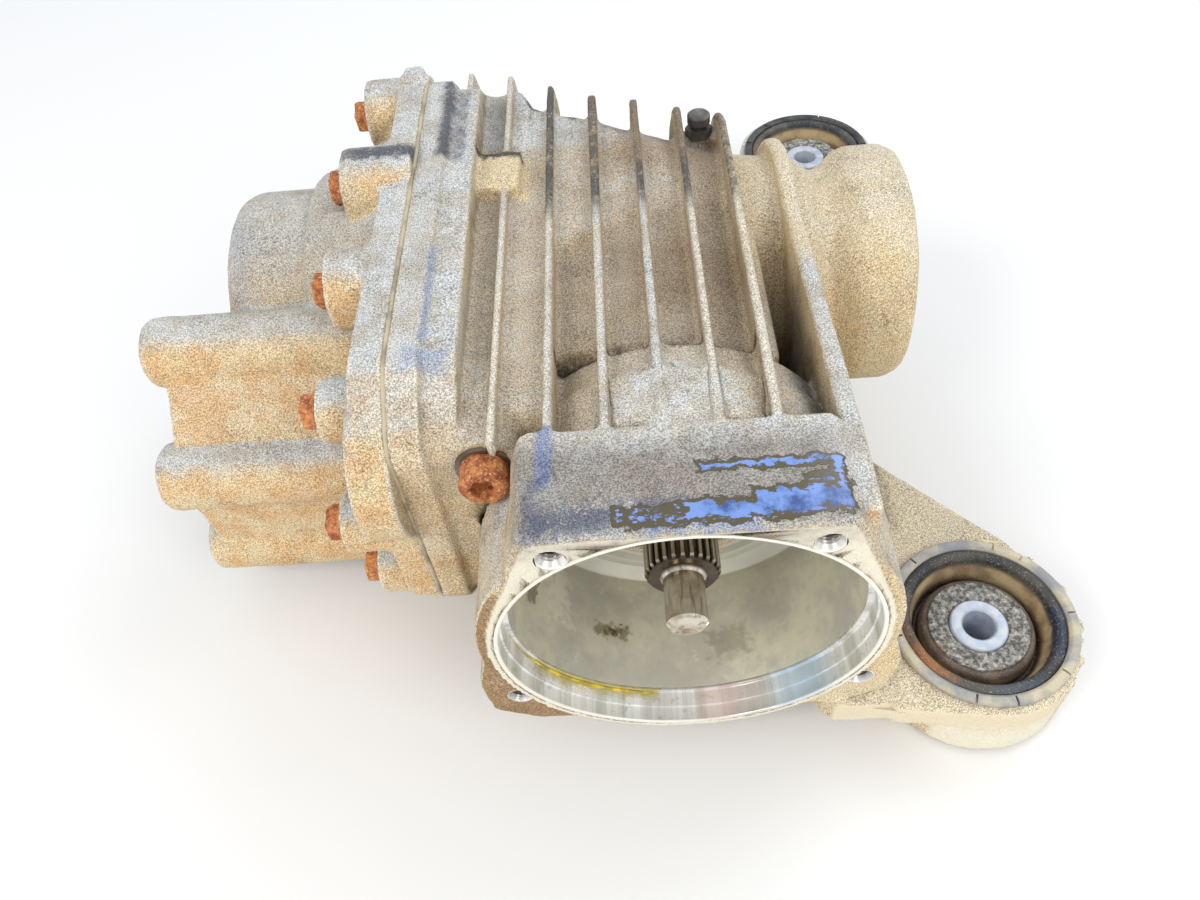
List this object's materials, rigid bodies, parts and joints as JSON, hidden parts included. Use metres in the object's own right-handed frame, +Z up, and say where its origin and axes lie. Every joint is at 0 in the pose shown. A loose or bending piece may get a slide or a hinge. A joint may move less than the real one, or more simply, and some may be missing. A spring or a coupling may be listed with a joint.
{
  "type": "rear differential",
  "caption": "Finned aluminium final drive with a flanged coupling mouth, splined pinion, bevel gear differential, side cover with an output collar and two rubber bushing arms.",
  "frame": {"origin": "centre of the coupling mouth on its flange face", "axes": "+X to the right along the output axis, +Y into the housing along the pinion axis, +Z up"},
  "size_m": [0.3787, 0.4154, 0.182],
  "materials": {
    "housing_casting": "dusty sand casting",
    "cover_casting": "dusty sand casting",
    "rusty_fasteners": "rusty",
    "pinion_steel": "oily, slightly brown",
    "gear_steel": "oily, ground and phosphated",
    "bearing_steel": "ground",
    "roller_steel": "polished",
    "cage_steel": "pressed sheet",
    "case_iron": "cast and turned",
    "shim_steel": "ground",
    "seal_rubber": "satin",
    "gasket_fibre": "matte",
    "bushing_rubber": "worn",
    "bushing_sleeve": "dull",
    "bushing_core": "dull"
  },
  "bodies": {
    "housing": {"main_housing": "housing_casting", "side_cover": "cover_casting", "cover_gasket": "gasket_fibre", "cover_dowels": "shim_steel", "cover_bolts": "rusty_fasteners", "fill_plug": "rusty_fasteners", "drain_plug": "rusty_fasteners", "plug_washers": "shim_steel", "breather": "gasket_fibre", "front_bushing_sleeve": "bushing_sleeve", "front_bushing_rubber": "bushing_rubber", "front_bushing_core": "bushing_core", "rear_bushing_sleeve": "bushing_sleeve", "rear_bushing_rubber": "bushing_rubber", "rear_bushing_core": "bushing_core", "pinion_shim": "shim_steel", "pinion_seal": "seal_rubber", "case_preload_shim": "shim_steel", "left_output_seal": "seal_rubber", "right_output_seal": "seal_rubber", "pinion_head_bearing_cup": "bearing_steel", "pinion_tail_bearing_cup": "bearing_steel", "left_case_bearing_cup": "bearing_steel", "right_case_bearing_cup": "bearing_steel"},
    "pinion": {"pinion_shaft": "pinion_steel", "pinion_spacer": "shim_steel", "pinion_nut": "gear_steel", "pinion_head_bearing_cone": "bearing_steel", "pinion_tail_bearing_cone": "bearing_steel"},
    "carrier": {"differential_case": "case_iron", "ring_gear": "gear_steel", "ring_gear_bolts": "gear_steel", "cross_pin": "gear_steel", "cross_pin_lock": "shim_steel", "side_gear_washers": "shim_steel", "planet_gear_washers": "shim_steel", "left_case_bearing_cone": "bearing_steel", "right_case_bearing_cone": "bearing_steel"},
    "left_side_gear": {"left_side_gear": "gear_steel"},
    "right_side_gear": {"right_side_gear": "gear_steel"},
    "upper_planet": {"upper_planet_gear": "gear_steel"},
    "lower_planet": {"lower_planet_gear": "gear_steel"},
    "pinion_head_bearing_cage": {"pinion_head_bearing_rollers": "roller_steel", "pinion_head_bearing_cage": "cage_steel"},
    "pinion_tail_bearing_cage": {"pinion_tail_bearing_rollers": "roller_steel", "pinion_tail_bearing_cage": "cage_steel"},
    "left_case_bearing_cage": {"left_case_bearing_rollers": "roller_steel", "left_case_bearing_cage": "cage_steel"},
    "right_case_bearing_cage": {"right_case_bearing_rollers": "roller_steel", "right_case_bearing_cage": "cage_steel"}
  },
  "joints": [
    {"name": "carrier_spin", "type": "hinge", "parent": "housing", "child": "carrier", "pos_m": [0, 0.189, 0], "axis": [1, 0, 0], "continuous": true},
    {"name": "pinion_spin", "type": "hinge", "parent": "housing", "child": "pinion", "pos_m": [0, 0, 0], "axis": [0, 1, 0], "continuous": true},
    {"name": "left_side_gear_spin", "type": "hinge", "parent": "carrier", "child": "left_side_gear", "pos_m": [-0.0375, 0.189, 0], "axis": [1, 0, 0], "continuous": true},
    {"name": "right_side_gear_spin", "type": "hinge", "parent": "carrier", "child": "right_side_gear", "pos_m": [-0.0375, 0.189, 0], "axis": [1, 0, 0], "continuous": true},
    {"name": "upper_planet_spin", "type": "hinge", "parent": "carrier", "child": "upper_planet", "pos_m": [-0.0375, 0.189, 0], "axis": [0, 0, 1], "continuous": true},
    {"name": "lower_planet_spin", "type": "hinge", "parent": "carrier", "child": "lower_planet", "pos_m": [-0.0375, 0.189, 0], "axis": [0, 0, 1], "continuous": true},
    {"name": "pinion_head_bearing_cage_spin", "type": "hinge", "parent": "housing", "child": "pinion_head_bearing_cage", "pos_m": [0, 0, 0], "axis": [0, 1, 0], "continuous": true},
    {"name": "pinion_tail_bearing_cage_spin", "type": "hinge", "parent": "housing", "child": "pinion_tail_bearing_cage", "pos_m": [0, 0, 0], "axis": [0, 1, 0], "continuous": true},
    {"name": "left_case_bearing_cage_spin", "type": "hinge", "parent": "housing", "child": "left_case_bearing_cage", "pos_m": [0, 0.189, 0], "axis": [1, 0, 0], "continuous": true},
    {"name": "right_case_bearing_cage_spin", "type": "hinge", "parent": "housing", "child": "right_case_bearing_cage", "pos_m": [0, 0.189, 0], "axis": [1, 0, 0], "continuous": true}
  ],
  "couplings": [
    {"joint": "pinion_spin", "follows": "carrier_spin", "ratio": -1.5882},
    {"joint": "right_side_gear_spin", "follows": "left_side_gear_spin", "ratio": -1},
    {"joint": "upper_planet_spin", "follows": "left_side_gear_spin", "ratio": 1.4},
    {"joint": "lower_planet_spin", "follows": "left_side_gear_spin", "ratio": -1.4},
    {"joint": "pinion_head_bearing_cage_spin", "follows": "carrier_spin", "ratio": -0.67833},
    {"joint": "pinion_tail_bearing_cage_spin", "follows": "carrier_spin", "ratio": -0.67833},
    {"joint": "left_case_bearing_cage_spin", "follows": "carrier_spin", "ratio": 0.4271},
    {"joint": "right_case_bearing_cage_spin", "follows": "carrier_spin", "ratio": 0.4271}
  ]
}
